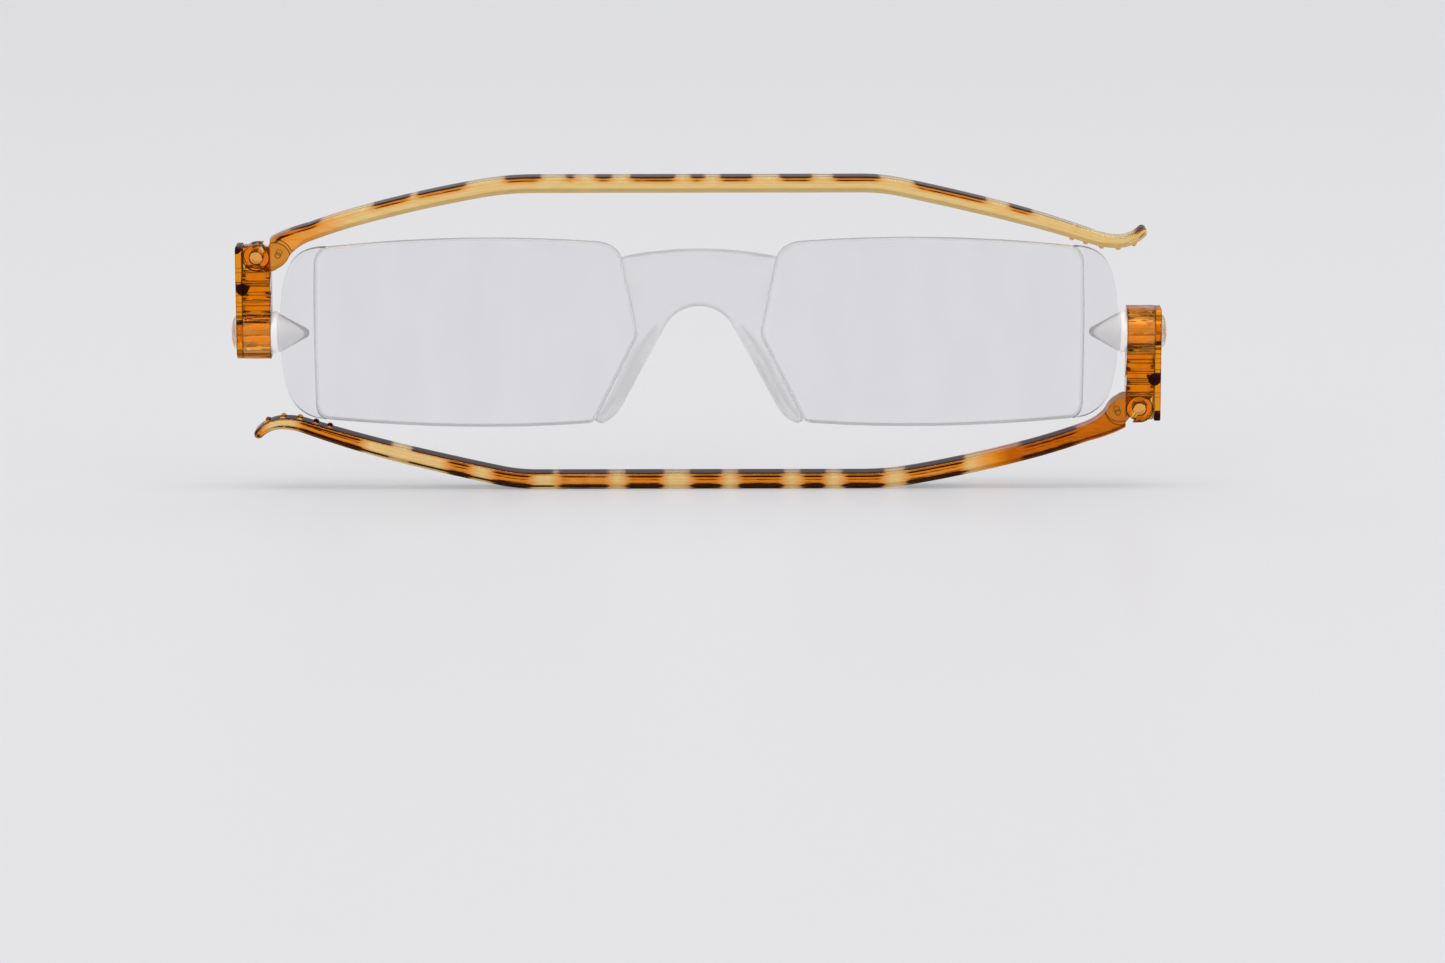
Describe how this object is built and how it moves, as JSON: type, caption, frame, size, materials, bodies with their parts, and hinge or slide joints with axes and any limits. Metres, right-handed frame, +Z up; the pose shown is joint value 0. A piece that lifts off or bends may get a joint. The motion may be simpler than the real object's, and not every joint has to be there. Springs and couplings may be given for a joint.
{
  "type": "folding reading glasses",
  "caption": "Rimless reading glasses whose end pieces turn on split pins and whose temples fold flat, one above and one below the lenses.",
  "frame": {"origin": "on the surface it stands on, under the middle of the bridge, half way through the folded depth", "axes": "+X along the front towards the wearer's left lens, +Y back towards the wearer, +Z up"},
  "size_m": [0.1446, 0.0066, 0.049],
  "materials": {
    "frosted_clear": "clear plastic with a milky, satin look",
    "lens_clear": "polished clear plastic lens",
    "clear_plastic": "polished clear moulded plastic",
    "amber_plastic": "polished translucent amber plastic",
    "tortoise_plastic": "polished tortoiseshell plastic, amber with dark brown patches"
  },
  "bodies": {
    "front": {"bridge": "frosted_clear", "lens_left": "lens_clear", "lens_right": "lens_clear", "lug_left": "clear_plastic", "lug_right": "clear_plastic", "swivel_pin_left": "clear_plastic", "swivel_pin_right": "clear_plastic"},
    "end_left": {"end_piece_left": "amber_plastic", "side_plate_left": "tortoise_plastic", "hinge_pin_left": "amber_plastic", "swivel_washer_left": "clear_plastic"},
    "end_right": {"end_piece_right": "amber_plastic", "side_plate_right": "tortoise_plastic", "hinge_pin_right": "amber_plastic", "swivel_washer_right": "clear_plastic"},
    "temple_left": {"temple_left": "tortoise_plastic"},
    "temple_right": {"temple_right": "tortoise_plastic"}
  },
  "joints": [
    {"name": "swivel_left", "type": "hinge", "parent": "front", "child": "end_left", "pos_m": [0.06828, 0, 0.0245], "axis": [1, 0, 0], "range_deg": [0, 90]},
    {"name": "swivel_right", "type": "hinge", "parent": "front", "child": "end_right", "pos_m": [-0.06828, 0, 0.0245], "axis": [-1, 0, 0], "range_deg": [0, 90]},
    {"name": "fold_left", "type": "hinge", "parent": "end_left", "child": "temple_left", "pos_m": [0.06828, 0, 0.0125], "axis": [0, -1, 0], "range_deg": [0, 90]},
    {"name": "fold_right", "type": "hinge", "parent": "end_right", "child": "temple_right", "pos_m": [-0.06828, 0, 0.0365], "axis": [0, -1, 0], "range_deg": [0, 90]}
  ],
  "couplings": [
    {"joint": "fold_left", "follows": "swivel_left", "ratio": 1},
    {"joint": "fold_right", "follows": "swivel_right", "ratio": 1}
  ]
}
